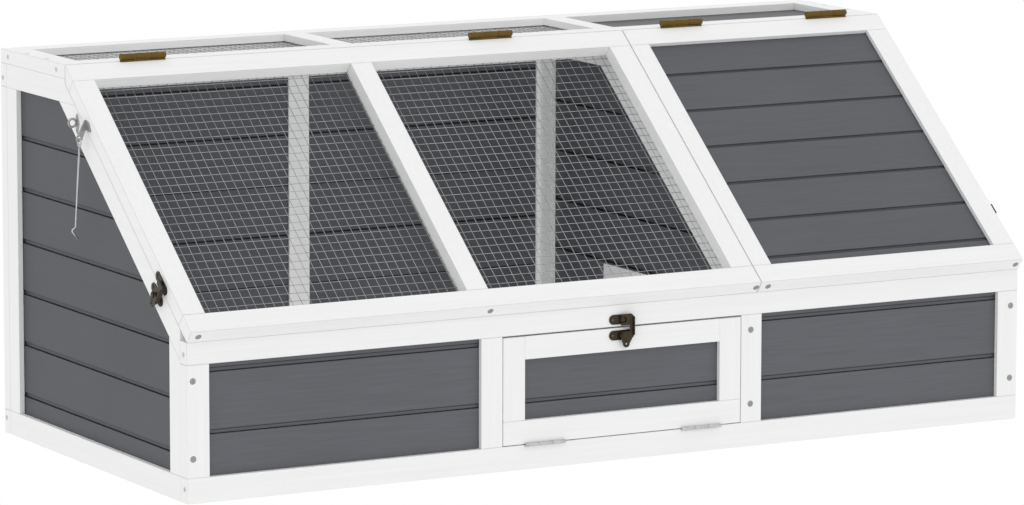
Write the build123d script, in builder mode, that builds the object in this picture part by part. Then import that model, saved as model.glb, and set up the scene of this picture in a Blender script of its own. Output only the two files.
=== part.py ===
from build123d import *
import os
from math import asin, atan2, cos, hypot, sin, tan

# Wooden tortoise enclosure: a low front wall, a flat roof strip along the back and two sloping lids.
# Millimetres. X runs along the front, Y goes from front to back and Z goes up from the ground.
# The origin is on the ground, under the middle of the whole object.

os.makedirs("parts", exist_ok=True)

# Overall sizes
LENGTH = 1200.0
DEPTH = 541.0
HEIGHT = 498.0
WALL_HEIGHT = 198.0
ROOF_DEPTH = 197.6

# Timber: the thickness of every stick, and the face width of each kind
TIMBER = 18.0
STILE = 30.0
BASE_RAIL = 31.0
TOP_RAIL = 30.0
FRONT_TOP_RAIL = 28.0
ROOF_RAIL = 32.5
CROSS_RAIL = 30.5

# Lids
LID_THICK = 19.0
LID_RAIL = 29.0
LID_STILE = 30.0
MESH_LID_LAST_STILE = 31.5
SOLID_LID_STILES = (27.5, 31.5)
LID_NOSE = 1.0
LID_REST = 0.4
LID_SPLIT = 802.0
LID_GAP = 1.0
JOINT_GAP = 1.0
MULLION = 389.0

# Uprights of the front and back walls, measured from the left end to each one's left face
DOOR_POSTS = (404.0, 780.0)
BACK_POSTS = (402.0, 774.0)
ROOF_CROSS_RAILS = (389.0, 777.0)
PARTITION = 780.0

# Lapped boards, let into grooves in the timber around them
BOARD = 8.0
RECESS = 7.0
LID_RECESS = 6.0
ROOF_RECESS = 9.8
GROOVE = 6.0
GROOVE_PLAY = 0.1
RABBET_DEPTH = 2.5
RABBET_HEIGHT = 5.6
LID_RABBET_HEIGHT = 4.0
LAP = 4.5
LAP_THICK = 2.8
LAP_PLAY = 0.2
BOARD_GAP = 0.7
FRONT_JOINTS = (82.5, 158.8)
SIDE_FIRST_JOINT = 54.1
SIDE_PITCH = 66.3
PARTITION_FIRST_JOINT = 57.0
PARTITION_PITCH = 66.4
BACK_FIRST_JOINT = 25.7
BACK_PITCH = 66.5
LID_FIRST_JOINT = 412.3
LID_PITCH = 65.75
ROOF_PITCH = 66.0

# Doorway through the partition, from the front face of the enclosure
DOORWAY_FRONT = 227.0
DOORWAY_REAR = 377.0
DOORWAY_TOP = 186.0
DOORWAY_RADIUS = 5.0

# Door in the front wall
DOOR_GAP_TOP = 2.0
DOOR_GAP_BOTTOM = 1.0
DOOR_GAP_SIDE = 1.0
DOOR_STILE = 31.0
DOOR_BOTTOM_RAIL = 30.0
DOOR_TOP_RAIL = 29.0

# Welded nets: flat wire of one width, let into a kerf around each opening
WIRE = 1.1
MESH = 50.0
NET_GROOVE = 4.0
NET_PLAY = 0.1
LID_NET_DEPTH = 16.6
ROOF_NET_DEPTH = 9.6

# Lid hinges, standing on the joint between roof and lids: distance of each centre from the left end
LID_HINGES_ON_MESH = (107.0, 604.5)
LID_HINGES_ON_BOARDS = (892.0, 1117.0)
HINGE_LENGTH = 62.0
HINGE_RADIUS = 4.0
HINGE_RISE = 5.0
HINGE_PIN = 1.5
HINGE_LEAF = 1.0
HINGE_LEAF_REACH = 15.0
LEAF_SPREAD = 0.3

# Door hinges, in the gap under the door
DOOR_HINGES = (493.7, 720.0)
DOOR_HINGE_LENGTH = 57.5
DOOR_HINGE_RADIUS = 2.3
DOOR_HINGE_PIN = 0.9
DOOR_HINGE_LEAF = 0.7
DOOR_HINGE_LEAF_REACH = 14.0
DOOR_LEAF_SPREAD = 0.1

# All hinges
PIN_PLAY = 0.05
KNUCKLE_GAP = 0.3
KNUCKLE_CLEARANCE = 0.3
POCKET_PLAY = 0.2

# Latches: two stadium plates, one over the other, and a forked lever that turns on the lower one
LATCH_X = 604.0
LATCH_SIDE_ALONG = 363.5
LATCH_SIDE_BELOW = 22.5
PLATE_LENGTH = 36.0
PLATE_WIDTH = 12.4
PLATE_THICK = 1.2
PLATE_SPACING = 20.0
BOSS_RADIUS = 3.4
BOSS_TOP = 5.1
LEVER_LIFT = 0.2
LEVER_THICK = 1.5
RIVET_RADIUS = 2.0
RIVET_PLAY = 0.08
RIVET_HEAD_RADIUS = 3.6
RIVET_HEAD = 0.9
EYE_RADIUS = 5.0
FORK_PLAY = 0.5
FORK_TIP = 4.0
FORK_WALL = 3.2
LEVER_BACK = 14.5
LEVER_BACK_WIDTH = 5.5
FLANGE_THICK = 1.2
FLANGE_LOW = 3.2
FLANGE_TOP = 9.5
TAB_X = 3.7
TAB_DROP = 10.8
TAB_RADIUS = 4.7
TAB_HOLE = 1.3

# Stays: a wire hook that hangs from the lid, and a ring on the side panel that it can reach
BRACKET_ALONG = 96.0
BRACKET_BELOW = 12.0
LOZENGE_LENGTH = 28.0
LOZENGE_WIDTH = 11.0
LOZENGE_CORNER = 2.6
LOZENGE_THICK = 1.5
RING_PLATE_Y = 307.0
RING_PLATE_Z = 428.0
RING_RADIUS = 5.0
RING_WIRE = 1.5
RING_OUT = 7.3
RING_RISE = 1.5
HOOK_Y = 281.0
HOOK_Z = 408.0
HOOK_OUT = 10.0
HOOK_WIRE = 1.2
HOOK_EYE = 4.5
LUG_THICK = 2.0
LUG_HOLE = 2.2
LUG_RADIUS = 4.4
LUG_ROOT = (-2.0, 6.0)
STAY_SEAT = 0.3
SHANK = 101.0
SHANK_LEAN = 6.0
JOG_OUT = 6.0
JOG_DROP = 4.0
TIP_IN = 8.5
TIP_DROP = 11.0
HOOK_BEND = 2.4
WIRE_SIDES = 6

# Places worked out from the sizes above
LEFT = -LENGTH / 2
RIGHT = LENGTH / 2
RUN = DEPTH - ROOF_DEPTH
RISE = HEIGHT - WALL_HEIGHT
SLOPE = atan2(RISE, RUN) - asin((LID_THICK + LID_REST) / hypot(RUN, RISE))
OVERHANG = LID_NOSE + LID_THICK * sin(SLOPE)
FRONT = (OVERHANG - DEPTH) / 2
BACK = FRONT + DEPTH
JOINT = FRONT + RUN
LID_LENGTH = (RUN + OVERHANG) / cos(SLOPE)
RAIL_OUTER = LID_THICK + LID_REST
RAIL_INNER = RAIL_OUTER + STILE
ROOF_UNDER = HEIGHT - TIMBER
TOP_RAIL_LOW = ROOF_UNDER - TOP_RAIL
WALL_RAIL_LOW = WALL_HEIGHT - FRONT_TOP_RAIL
SIDE_FRONT = FRONT + TIMBER
SIDE_BACK = BACK - TIMBER
SPLIT = LEFT + LID_SPLIT
UPHILL = (cos(SLOPE), sin(SLOPE))
INTO_LID = (sin(SLOPE), -cos(SLOPE))


def slope_point(along, below):
    """(y, z) of a point so far down the slope from the roof joint, and so far below the lids' top."""
    return (
        JOINT - along * cos(SLOPE) + below * sin(SLOPE),
        HEIGHT - along * sin(SLOPE) - below * cos(SLOPE),
    )


def slope_height(y, below):
    """Height at y of the line that lies so far below the lids' top."""
    return HEIGHT - (JOINT - y) * tan(SLOPE) - below / cos(SLOPE)


def slope_depth(z, below):
    """The y at which the line that lies so far below the lids' top has the height z."""
    return JOINT - (HEIGHT - below / cos(SLOPE) - z) / tan(SLOPE)


def across(x):
    """Plane square to X: local x is Y and local y is Z."""
    return Plane.YZ.offset(x)


def facing(y):
    """Plane square to Y: local x is X, local y is Z, and the normal points to the front."""
    return Plane.XZ.offset(-y)


def level(z):
    """Plane square to Z: local x is X and local y is Y."""
    return Plane.XY.offset(z)


def lid_plane(below):
    """Plane along the lids, so far below their top: local y runs uphill from the roof joint."""
    y, z = slope_point(0, below)
    return Plane(origin=(0, y, z), x_dir=(1, 0, 0), z_dir=(0, -sin(SLOPE), cos(SLOPE)))


def outline(plane, corners):
    """A face with straight sides."""
    with BuildSketch(plane) as face:
        with BuildLine():
            Polyline(*corners, close=True)
        make_face()
    return face.sketch


def rectangle(plane, low, high):
    """A rectangle given by two opposite corners."""
    return outline(plane, [low, (high[0], low[1]), high, (low[0], high[1])])


def panel_edge(plane, corners, grow):
    """An opening's outline grown into the timber around it."""
    with BuildSketch(plane) as edge:
        with BuildLine():
            Polyline(*corners, close=True)
        make_face()
        offset(amount=grow, kind=Kind.INTERSECTION)
    return edge.sketch


def corners_of(low, high):
    """The four corners of an upright rectangle."""
    return [low, (high[0], low[1]), high, (low[0], high[1])]


def board_faces(plane, start, up, inward, joints, end, rabbet):
    """Sections of a stack of lapped boards.

    start is the outer face's lowest point, up and inward are directions in the section plane, joints are
    the heights of the lower edges above start, and end is the height of the top one's upper edge.
    """
    lows = [0.0, *joints]
    highs = [*[joint - BOARD_GAP for joint in joints], end]
    faces = []
    for number, (low, high) in enumerate(zip(lows, highs)):
        foot = [(0, low), (BOARD, low)]
        if number > 0:
            lap = LAP_THICK + LAP_PLAY
            foot = [
                (0, low + rabbet),
                (RABBET_DEPTH, low + rabbet),
                (RABBET_DEPTH, low),
                (BOARD - lap, low),
                (BOARD - lap, low + LAP),
                (BOARD, low + LAP),
            ]
        head = [(BOARD, high), (0, high)]
        if number < len(lows) - 1:
            head = [
                (BOARD, high + LAP),
                (BOARD - LAP_THICK, high + LAP),
                (BOARD - LAP_THICK, high),
                (0, high),
            ]
        corners = [
            (start[0] + h * up[0] + t * inward[0], start[1] + h * up[1] + t * inward[1])
            for t, h in [*foot, *head]
        ]
        faces.append(outline(plane, corners))
    return faces


def joints_between(first, pitch, low, high):
    """Heights above low of the board joints that fall clear of both ends."""
    heights = []
    height = first
    while height < high - pitch / 4:
        if height > low + pitch / 8:
            heights.append(height - low)
        height += pitch
    return heights


def write(piece, name):
    """Labels a finished sub-part and writes it."""
    piece.part.label = name
    export_step(piece.part, f"parts/{name}.step")


# Outlines of the openings that boards fill
FRONT_LEFT_BAY = corners_of((LEFT + STILE, BASE_RAIL), (LEFT + DOOR_POSTS[0], WALL_RAIL_LOW))
FRONT_RIGHT_BAY = corners_of(
    (LEFT + DOOR_POSTS[1] + STILE, BASE_RAIL), (RIGHT - STILE, WALL_RAIL_LOW)
)
BACK_EDGES = [LEFT, LEFT + BACK_POSTS[0], LEFT + BACK_POSTS[1], RIGHT - STILE]
BACK_BAYS = [
    corners_of((near + STILE, BASE_RAIL), (far, TOP_RAIL_LOW))
    for near, far in zip(BACK_EDGES, BACK_EDGES[1:])
]
SIDE_BAY = [
    (SIDE_FRONT + STILE, BASE_RAIL),
    (SIDE_BACK - STILE, BASE_RAIL),
    (SIDE_BACK - STILE, TOP_RAIL_LOW),
    (slope_depth(TOP_RAIL_LOW, RAIL_INNER), TOP_RAIL_LOW),
    (SIDE_FRONT + STILE, slope_height(SIDE_FRONT + STILE, RAIL_INNER)),
]
GROOVE_WIDTH = BOARD + 2 * GROOVE_PLAY
BOARD_FIT = GROOVE - GROOVE_PLAY


def front_groove(bay):
    """The groove around a bay of the front wall."""
    return panel_edge(facing(FRONT + RECESS - GROOVE_PLAY), bay, GROOVE)


def back_groove(bay):
    """The groove around a bay of the back wall, whose boards sit as deep in from the outside."""
    return panel_edge(facing(BACK - RECESS - BOARD - GROOVE_PLAY), bay, GROOVE)


DOOR_PIN_Z = BASE_RAIL + DOOR_GAP_BOTTOM / 2
DOOR_LEAF_FAR = DOOR_LEAF_SPREAD + DOOR_HINGE_LEAF
DOOR_POCKET_LENGTH = DOOR_HINGE_LENGTH + 2 * POCKET_PLAY


def door_hinge_pocket(x, low, high):
    """Where a door hinge's leaf is let into the timber, seen from the end."""
    return rectangle(
        across(LEFT + x - DOOR_POCKET_LENGTH / 2),
        (FRONT, low),
        (FRONT + DOOR_HINGE_LEAF_REACH + POCKET_PLAY, high),
    )


# Front wall: rails over and under four posts, with boards in the two outer bays
with BuildPart() as front_base_rail:
    extrude(rectangle(across(LEFT), (FRONT, 0), (FRONT + TIMBER, BASE_RAIL)), amount=LENGTH)
    for bay in (FRONT_LEFT_BAY, FRONT_RIGHT_BAY):
        extrude(front_groove(bay), amount=-GROOVE_WIDTH, mode=Mode.SUBTRACT)
    for x in DOOR_HINGES:
        pocket = door_hinge_pocket(x, DOOR_PIN_Z - DOOR_LEAF_FAR, BASE_RAIL)
        extrude(pocket, amount=DOOR_POCKET_LENGTH, mode=Mode.SUBTRACT)
write(front_base_rail, "front_base_rail")

with BuildPart() as front_top_rail:
    extrude(
        rectangle(across(LEFT), (FRONT, WALL_RAIL_LOW), (FRONT + TIMBER, WALL_HEIGHT)), amount=LENGTH
    )
    for bay in (FRONT_LEFT_BAY, FRONT_RIGHT_BAY):
        extrude(front_groove(bay), amount=-GROOVE_WIDTH, mode=Mode.SUBTRACT)
write(front_top_rail, "front_top_rail")

with BuildPart() as front_posts:
    for x in (0.0, *DOOR_POSTS, LENGTH - STILE):
        extrude(
            rectangle(level(BASE_RAIL), (LEFT + x, FRONT), (LEFT + x + STILE, FRONT + TIMBER)),
            amount=WALL_RAIL_LOW - BASE_RAIL,
        )
    for bay in (FRONT_LEFT_BAY, FRONT_RIGHT_BAY):
        extrude(front_groove(bay), amount=-GROOVE_WIDTH, mode=Mode.SUBTRACT)
write(front_posts, "front_posts")


def front_boards(low, high, from_x, to_x):
    """Sections and length of the boards that fill a bay of the front wall or of its door."""
    joints = [z - low for z in FRONT_JOINTS if low + BOARD < z < high - BOARD / 2]
    start = (FRONT + RECESS, low)
    faces = board_faces(across(from_x), start, (0, 1), (1, 0), joints, high - low, RABBET_HEIGHT)
    return faces, to_x - from_x


with BuildPart() as front_left_boards:
    faces, length = front_boards(
        BASE_RAIL - BOARD_FIT,
        WALL_RAIL_LOW + BOARD_FIT,
        LEFT + STILE - BOARD_FIT,
        LEFT + DOOR_POSTS[0] + BOARD_FIT,
    )
    for face in faces:
        extrude(face, amount=length)
write(front_left_boards, "front_left_boards")

with BuildPart() as front_right_boards:
    faces, length = front_boards(
        BASE_RAIL - BOARD_FIT,
        WALL_RAIL_LOW + BOARD_FIT,
        LEFT + DOOR_POSTS[1] + STILE - BOARD_FIT,
        RIGHT - STILE + BOARD_FIT,
    )
    for face in faces:
        extrude(face, amount=length)
write(front_right_boards, "front_right_boards")

# Back wall: rails over and under four posts, with boards in three bays
with BuildPart() as back_rails:
    for low, high in ((0.0, BASE_RAIL), (TOP_RAIL_LOW, ROOF_UNDER)):
        extrude(rectangle(across(LEFT), (BACK - TIMBER, low), (BACK, high)), amount=LENGTH)
    for bay in BACK_BAYS:
        extrude(back_groove(bay), amount=-GROOVE_WIDTH, mode=Mode.SUBTRACT)
write(back_rails, "back_rails")

with BuildPart() as back_posts:
    for x in BACK_EDGES:
        extrude(
            rectangle(level(BASE_RAIL), (x, BACK - TIMBER), (x + STILE, BACK)),
            amount=TOP_RAIL_LOW - BASE_RAIL,
        )
    for bay in BACK_BAYS:
        extrude(back_groove(bay), amount=-GROOVE_WIDTH, mode=Mode.SUBTRACT)
write(back_posts, "back_posts")

with BuildPart() as back_boards:
    low = BASE_RAIL - BOARD_FIT
    high = TOP_RAIL_LOW + BOARD_FIT
    joints = joints_between(BACK_FIRST_JOINT, BACK_PITCH, low, high)
    for bay in BACK_BAYS:
        from_x = bay[0][0] - BOARD_FIT
        start = (BACK - RECESS, low)
        for face in board_faces(across(from_x), start, (0, 1), (-1, 0), joints, high - low, RABBET_HEIGHT):
            extrude(face, amount=bay[1][0] + BOARD_FIT - from_x)
write(back_boards, "back_boards")


# Side panels and partition: one shape, with the outer face at x and the boards let into its inside
def side_stiles(x):
    """Faces of the front and rear stile."""
    slant = slope_height(SIDE_FRONT, RAIL_INNER)
    front_stile = [
        (SIDE_FRONT, BASE_RAIL),
        (SIDE_FRONT + STILE, BASE_RAIL),
        (SIDE_FRONT + STILE, slope_height(SIDE_FRONT + STILE, RAIL_INNER)),
        (SIDE_FRONT, slant),
    ]
    rear_stile = corners_of((SIDE_BACK - STILE, BASE_RAIL), (SIDE_BACK, TOP_RAIL_LOW))
    return [outline(across(x), front_stile), outline(across(x), rear_stile)]


def side_rails(x):
    """Faces of the bottom rail and of the top rail, whose front end follows the lids."""
    lip = JOINT + JOINT_GAP / 2
    bottom = corners_of((SIDE_FRONT, 0), (SIDE_BACK, BASE_RAIL))
    top = [
        (SIDE_BACK, TOP_RAIL_LOW),
        (SIDE_BACK, ROOF_UNDER),
        (lip, ROOF_UNDER),
        (lip, slope_height(lip, RAIL_OUTER)),
        (slope_depth(TOP_RAIL_LOW, RAIL_OUTER), TOP_RAIL_LOW),
    ]
    return [outline(across(x), bottom), outline(across(x), top)]


def slanted_rail(x):
    """Face of the rail under the lid's edge."""
    corners = [
        (SIDE_FRONT, slope_height(SIDE_FRONT, RAIL_INNER)),
        (slope_depth(TOP_RAIL_LOW, RAIL_INNER), TOP_RAIL_LOW),
        (slope_depth(TOP_RAIL_LOW, RAIL_OUTER), TOP_RAIL_LOW),
        (SIDE_FRONT, slope_height(SIDE_FRONT, RAIL_OUTER)),
    ]
    return outline(across(x), corners)


def side_boards(x, first, pitch):
    """Sections of the boards of a side panel or of the partition, from the front groove back."""
    low = BASE_RAIL - BOARD_FIT
    high = TOP_RAIL_LOW + BOARD_FIT
    joints = joints_between(first, pitch, low, high)
    plane = facing(SIDE_FRONT)
    return board_faces(plane, (x + RECESS, low), (0, 1), (1, 0), joints, high - low, RABBET_HEIGHT)


def side_groove(x):
    """The groove around the boards."""
    return panel_edge(across(x + RECESS - GROOVE_PLAY), SIDE_BAY, GROOVE)


SIDE_LENGTH = SIDE_BACK - SIDE_FRONT

with BuildPart() as left_side_stiles:
    for face in side_stiles(LEFT):
        extrude(face, amount=TIMBER)
    extrude(side_groove(LEFT), amount=GROOVE_WIDTH, mode=Mode.SUBTRACT)
write(left_side_stiles, "left_side_stiles")

with BuildPart() as left_side_rails:
    for face in side_rails(LEFT):
        extrude(face, amount=TIMBER)
    extrude(side_groove(LEFT), amount=GROOVE_WIDTH, mode=Mode.SUBTRACT)
write(left_side_rails, "left_side_rails")

with BuildPart() as left_slanted_rail:
    extrude(slanted_rail(LEFT), amount=TIMBER)
    extrude(side_groove(LEFT), amount=GROOVE_WIDTH, mode=Mode.SUBTRACT)
write(left_slanted_rail, "left_slanted_rail")

with BuildPart() as left_side_boards:
    for face in side_boards(LEFT, SIDE_FIRST_JOINT, SIDE_PITCH):
        extrude(face, amount=-SIDE_LENGTH)
    extrude(panel_edge(across(LEFT), SIDE_BAY, BOARD_FIT), amount=TIMBER, mode=Mode.INTERSECT)
write(left_side_boards, "left_side_boards")

with BuildPart() as right_side_stiles:
    mirror(left_side_stiles.part, about=Plane.YZ)
write(right_side_stiles, "right_side_stiles")

with BuildPart() as right_side_rails:
    mirror(left_side_rails.part, about=Plane.YZ)
write(right_side_rails, "right_side_rails")

with BuildPart() as right_slanted_rail:
    mirror(left_slanted_rail.part, about=Plane.YZ)
write(right_slanted_rail, "right_slanted_rail")

with BuildPart() as right_side_boards:
    mirror(left_side_boards.part, about=Plane.YZ)
write(right_side_boards, "right_side_boards")

PARTITION_X = LEFT + PARTITION


def partition_edge(grow):
    """The partition's boarded area with the doorway left out, its top corners rounded."""
    with BuildSketch(across(PARTITION_X + RECESS - GROOVE_PLAY)) as edge:
        with BuildLine():
            Polyline(*SIDE_BAY, close=True)
        make_face()
        offset(amount=grow, kind=Kind.INTERSECTION)
        with BuildSketch(mode=Mode.PRIVATE) as doorway:
            with BuildLine():
                Polyline(
                    *corners_of(
                        (FRONT + DOORWAY_FRONT, BASE_RAIL - 2 * GROOVE),
                        (FRONT + DOORWAY_REAR, DOORWAY_TOP),
                    ),
                    close=True,
                )
            make_face()
            fillet(doorway.vertices().group_by(Axis.Y)[-1], radius=DOORWAY_RADIUS)
        add(doorway.sketch, mode=Mode.SUBTRACT)
    return edge.sketch


with BuildPart() as partition_stiles:
    for face in side_stiles(PARTITION_X):
        extrude(face, amount=TIMBER)
    extrude(partition_edge(GROOVE), amount=GROOVE_WIDTH, mode=Mode.SUBTRACT)
write(partition_stiles, "partition_stiles")

with BuildPart() as partition_rails:
    for face in side_rails(PARTITION_X):
        extrude(face, amount=TIMBER)
    extrude(partition_edge(GROOVE), amount=GROOVE_WIDTH, mode=Mode.SUBTRACT)
write(partition_rails, "partition_rails")

with BuildPart() as partition_slanted_rail:
    extrude(slanted_rail(PARTITION_X), amount=TIMBER)
    extrude(partition_edge(GROOVE), amount=GROOVE_WIDTH, mode=Mode.SUBTRACT)
write(partition_slanted_rail, "partition_slanted_rail")

with BuildPart() as partition_boards:
    for face in side_boards(PARTITION_X, PARTITION_FIRST_JOINT, PARTITION_PITCH):
        extrude(face, amount=-SIDE_LENGTH)
    extrude(partition_edge(BOARD_FIT), amount=GROOVE_WIDTH, mode=Mode.INTERSECT)
write(partition_boards, "partition_boards")

# Roof strip: rails between two end caps, cross rails, boards over the bedroom and nets over the run
ROOF_FRONT = JOINT + JOINT_GAP / 2
ROOF_INNER = (ROOF_FRONT + ROOF_RAIL, BACK - ROOF_RAIL)
ROOF_EDGES = [LEFT, LEFT + ROOF_CROSS_RAILS[0], LEFT + ROOF_CROSS_RAILS[1], RIGHT - STILE]
ROOF_BAYS = [
    corners_of((near + width, ROOF_INNER[0]), (far, ROOF_INNER[1]))
    for near, far, width in zip(ROOF_EDGES, ROOF_EDGES[1:], (STILE, CROSS_RAIL, CROSS_RAIL))
]
NET_KERF = WIRE + 2 * NET_PLAY


def roof_kerfs():
    """What is cut from the roof's timber for the nets and the boards: faces and depths."""
    cuts = [
        (panel_edge(level(HEIGHT - ROOF_NET_DEPTH + NET_PLAY), bay, NET_GROOVE), NET_KERF)
        for bay in ROOF_BAYS[:2]
    ]
    boards = panel_edge(level(HEIGHT - ROOF_RECESS + GROOVE_PLAY), ROOF_BAYS[2], GROOVE)
    return [*cuts, (boards, TIMBER)]


def lid_hinge_pocket(x, outward):
    """Where a hinge leaf is let into the timber on one side of the roof joint."""
    near = JOINT + outward * JOINT_GAP / 2
    far = JOINT + outward * (LEAF_SPREAD + HINGE_LEAF)
    half = HINGE_LENGTH / 2 + POCKET_PLAY
    return rectangle(
        across(LEFT + x - half),
        (min(near, far), HEIGHT - HINGE_LEAF_REACH - POCKET_PLAY),
        (max(near, far), HEIGHT),
    )


POCKET_LENGTH = HINGE_LENGTH + 2 * POCKET_PLAY

with BuildPart() as roof_rails:
    for near, far in ((ROOF_FRONT, ROOF_INNER[0]), (ROOF_INNER[1], BACK)):
        extrude(
            rectangle(across(LEFT + STILE), (near, ROOF_UNDER), (far, HEIGHT)), amount=LENGTH - 2 * STILE
        )
    for face, depth in roof_kerfs():
        extrude(face, amount=-depth, mode=Mode.SUBTRACT)
    for x in (*LID_HINGES_ON_MESH, *LID_HINGES_ON_BOARDS):
        extrude(lid_hinge_pocket(x, 1), amount=POCKET_LENGTH, mode=Mode.SUBTRACT)
write(roof_rails, "roof_rails")

with BuildPart() as roof_end_caps:
    for x in (LEFT, RIGHT - STILE):
        extrude(rectangle(level(ROOF_UNDER), (x, ROOF_FRONT), (x + STILE, BACK)), amount=TIMBER)
    for face, depth in roof_kerfs():
        extrude(face, amount=-depth, mode=Mode.SUBTRACT)
write(roof_end_caps, "roof_end_caps")

with BuildPart() as roof_cross_rails:
    for x in ROOF_CROSS_RAILS:
        extrude(
            rectangle(level(ROOF_UNDER), (LEFT + x, ROOF_INNER[0]), (LEFT + x + CROSS_RAIL, ROOF_INNER[1])),
            amount=TIMBER,
        )
    for face, depth in roof_kerfs():
        extrude(face, amount=-depth, mode=Mode.SUBTRACT)
write(roof_cross_rails, "roof_cross_rails")

with BuildPart() as roof_boards:
    low = ROOF_INNER[0] - BOARD_FIT
    high = ROOF_INNER[1] + BOARD_FIT
    joints = joints_between(low + ROOF_PITCH, ROOF_PITCH, low, high)
    from_x = ROOF_BAYS[2][0][0] - BOARD_FIT
    start = (low, HEIGHT - ROOF_RECESS)
    for face in board_faces(
        across(from_x), start, (1, 0), (0, -1), joints, high - low, LID_RABBET_HEIGHT
    ):
        extrude(face, amount=ROOF_BAYS[2][1][0] + BOARD_FIT - from_x)
write(roof_boards, "roof_boards")


def net_face(plane, low, high):
    """A welded net that fills an opening and reaches into its kerf, as one face with square gaps."""
    width = high[0] - low[0]
    height = high[1] - low[1]
    across_count = round(width / MESH)
    up_count = round(height / MESH)
    centre = ((low[0] + high[0]) / 2, (low[1] + high[1]) / 2)
    reach = 2 * (NET_GROOVE - NET_PLAY)
    with BuildSketch(plane) as net:
        with Locations(centre):
            Rectangle(width + reach, height + reach)
            with GridLocations(width / across_count, height / up_count, across_count, up_count):
                Rectangle(width / across_count - WIRE, height / up_count - WIRE, mode=Mode.SUBTRACT)
    return net.sketch


with BuildPart() as roof_left_net:
    extrude(
        net_face(level(HEIGHT - ROOF_NET_DEPTH), ROOF_BAYS[0][0], ROOF_BAYS[0][2]), amount=-WIRE
    )
write(roof_left_net, "roof_left_net")

with BuildPart() as roof_middle_net:
    extrude(
        net_face(level(HEIGHT - ROOF_NET_DEPTH), ROOF_BAYS[1][0], ROOF_BAYS[1][2]), amount=-WIRE
    )
write(roof_middle_net, "roof_middle_net")

# Lids: a rail along the roof joint with a plumb rear edge, one along the front, and stiles between them
LID_ENDS = {
    "mesh": (LEFT, SPLIT - LID_GAP / 2),
    "solid": (SPLIT + LID_GAP / 2, RIGHT),
}
LID_INNER_LOW = -(LID_LENGTH - LID_RAIL)
LID_BAY_LEFT = corners_of(
    (LEFT + LID_STILE, LID_INNER_LOW), (LEFT + MULLION, -LID_RAIL)
)
LID_BAY_MIDDLE = corners_of(
    (LEFT + MULLION + LID_STILE, LID_INNER_LOW), (LID_ENDS["mesh"][1] - MESH_LID_LAST_STILE, -LID_RAIL)
)
LID_BAY_RIGHT = corners_of(
    (LID_ENDS["solid"][0] + SOLID_LID_STILES[0], LID_INNER_LOW), (RIGHT - SOLID_LID_STILES[1], -LID_RAIL)
)


def lid_rails(x):
    """Sections of a lid's top rail, cut plumb at the joint, and of its bottom rail."""
    plumb = JOINT - JOINT_GAP / 2
    top = [
        (plumb, slope_height(plumb, 0)),
        (plumb, slope_height(plumb, LID_THICK)),
        slope_point(LID_RAIL, LID_THICK),
        slope_point(LID_RAIL, 0),
    ]
    bottom = [
        slope_point(LID_LENGTH - LID_RAIL, 0),
        slope_point(LID_LENGTH - LID_RAIL, LID_THICK),
        slope_point(LID_LENGTH, LID_THICK),
        slope_point(LID_LENGTH, 0),
    ]
    return [outline(across(x), top), outline(across(x), bottom)]


with BuildPart() as mesh_lid_rails:
    ends = LID_ENDS["mesh"]
    for face in lid_rails(ends[0]):
        extrude(face, amount=ends[1] - ends[0])
    for bay in (LID_BAY_LEFT, LID_BAY_MIDDLE):
        kerf = panel_edge(lid_plane(LID_NET_DEPTH - NET_PLAY), bay, NET_GROOVE)
        extrude(kerf, amount=-NET_KERF, mode=Mode.SUBTRACT)
    for x in LID_HINGES_ON_MESH:
        extrude(lid_hinge_pocket(x, -1), amount=POCKET_LENGTH, mode=Mode.SUBTRACT)
write(mesh_lid_rails, "mesh_lid_rails")

with BuildPart() as mesh_lid_stiles:
    for x, width in (
        (LEFT, LID_STILE),
        (LEFT + MULLION, LID_STILE),
        (LID_ENDS["mesh"][1] - MESH_LID_LAST_STILE, MESH_LID_LAST_STILE),
    ):
        extrude(rectangle(lid_plane(0), (x, LID_INNER_LOW), (x + width, -LID_RAIL)), amount=-LID_THICK)
    for bay in (LID_BAY_LEFT, LID_BAY_MIDDLE):
        kerf = panel_edge(lid_plane(LID_NET_DEPTH - NET_PLAY), bay, NET_GROOVE)
        extrude(kerf, amount=-NET_KERF, mode=Mode.SUBTRACT)
write(mesh_lid_stiles, "mesh_lid_stiles")

with BuildPart() as mesh_lid_left_net:
    extrude(net_face(lid_plane(LID_NET_DEPTH), LID_BAY_LEFT[0], LID_BAY_LEFT[2]), amount=-WIRE)
write(mesh_lid_left_net, "mesh_lid_left_net")

with BuildPart() as mesh_lid_right_net:
    extrude(net_face(lid_plane(LID_NET_DEPTH), LID_BAY_MIDDLE[0], LID_BAY_MIDDLE[2]), amount=-WIRE)
write(mesh_lid_right_net, "mesh_lid_right_net")

with BuildPart() as solid_lid_rails:
    ends = LID_ENDS["solid"]
    for face in lid_rails(ends[0]):
        extrude(face, amount=ends[1] - ends[0])
    groove = panel_edge(lid_plane(LID_RECESS - GROOVE_PLAY), LID_BAY_RIGHT, GROOVE)
    extrude(groove, amount=-GROOVE_WIDTH, mode=Mode.SUBTRACT)
    for x in LID_HINGES_ON_BOARDS:
        extrude(lid_hinge_pocket(x, -1), amount=POCKET_LENGTH, mode=Mode.SUBTRACT)
write(solid_lid_rails, "solid_lid_rails")

with BuildPart() as solid_lid_stiles:
    for x, width in zip((LID_ENDS["solid"][0], RIGHT - SOLID_LID_STILES[1]), SOLID_LID_STILES):
        extrude(rectangle(lid_plane(0), (x, LID_INNER_LOW), (x + width, -LID_RAIL)), amount=-LID_THICK)
    groove = panel_edge(lid_plane(LID_RECESS - GROOVE_PLAY), LID_BAY_RIGHT, GROOVE)
    extrude(groove, amount=-GROOVE_WIDTH, mode=Mode.SUBTRACT)
write(solid_lid_stiles, "solid_lid_stiles")

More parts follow.
